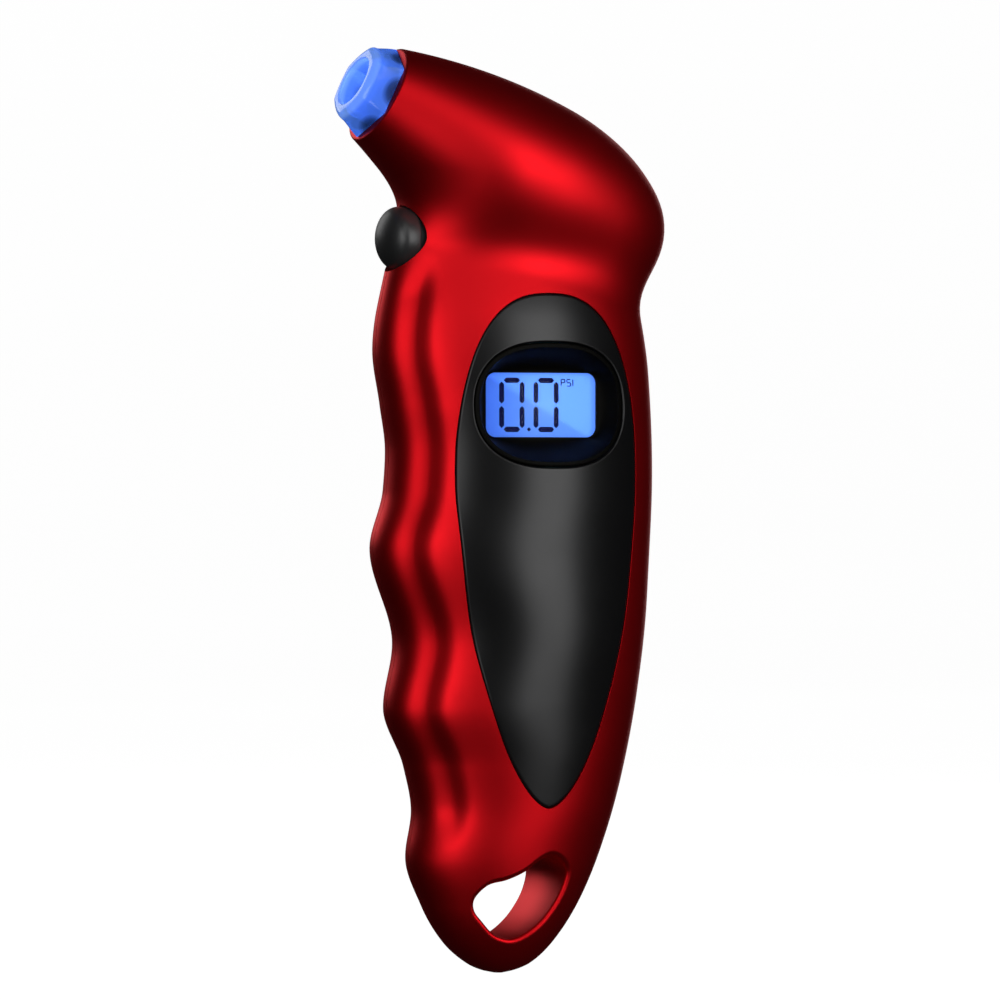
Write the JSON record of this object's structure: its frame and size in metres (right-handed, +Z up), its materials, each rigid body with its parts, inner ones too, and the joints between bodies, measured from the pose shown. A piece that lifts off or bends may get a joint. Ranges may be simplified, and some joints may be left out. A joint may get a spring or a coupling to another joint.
{
  "type": "digital tire pressure gauge",
  "caption": "Hand-held digital tire pressure gauge with a contoured red grip, backlit display, side button, angled lit chuck and lanyard hole.",
  "frame": {"origin": "under the middle of the gauge, on the plane that its lanyard end touches", "axes": "+Z up the handle from the lanyard end to the head, -Y out of the display face, -X towards the chuck and the finger grooves"},
  "size_m": [0.058, 0.0286, 0.1513],
  "materials": {
    "red_case": "satin metallic red paint on plastic",
    "black_panel": "satin black",
    "gloss_black": "polished black",
    "clear_window": "clear, lightly tinted blue",
    "lcd_blue": "backlit blue display",
    "backlight": "white diffuser",
    "contact_rubber": "dark rubber",
    "button_rubber": "satin dark grey rubber",
    "black_plastic": "black",
    "steel": "plain steel",
    "blue_lens": "translucent blue, lit from inside",
    "brass": "machined brass",
    "led_blue": "clear blue lamp",
    "silicone_hose": "milky silicone",
    "grey_plastic": "moulded grey",
    "board_green": "solder mask green",
    "components": "ceramic and moulded parts",
    "cell_steel": "bright nickel plate",
    "wire_red": "insulated wire"
  },
  "bodies": {
    "case": {"front_shell": "red_case", "rear_shell": "red_case", "face_panel": "black_panel", "display_bezel": "gloss_black", "display_window": "clear_window", "lcd_glass": "lcd_blue", "lcd_backlight": "backlight", "zebra_strips": "contact_rubber", "tact_switch": "steel", "nozzle_lens": "blue_lens", "nozzle_seal": "contact_rubber", "depressor_pin": "brass", "nozzle_body": "brass", "nozzle_led": "led_blue", "air_hose": "silicone_hose", "hose_clips": "steel", "pressure_sensor": "grey_plastic", "main_board": "board_green", "controller_chip": "black_plastic", "board_components": "components", "board_screws": "steel", "battery_tray": "black_plastic", "button_cells": "cell_steel", "positive_contact": "brass", "negative_contact": "steel", "battery_wires": "wire_red", "case_screw_set": "steel"},
    "button": {"power_button": "button_rubber", "switch_plunger": "black_plastic"},
    "door": {"battery_door": "red_case", "battery_door_screw": "steel"}
  },
  "joints": [
    {"name": "power_button_press", "type": "slide", "parent": "case", "child": "button", "axis": [1, 0, 0], "range_m": [0, 0.0006], "stiffness_N_per_m": 1500, "springref_m": -0.0004},
    {"name": "battery_door_release", "type": "slide", "parent": "case", "child": "door", "axis": [0, 1, 0], "range_m": [0, 0.012]}
  ]
}
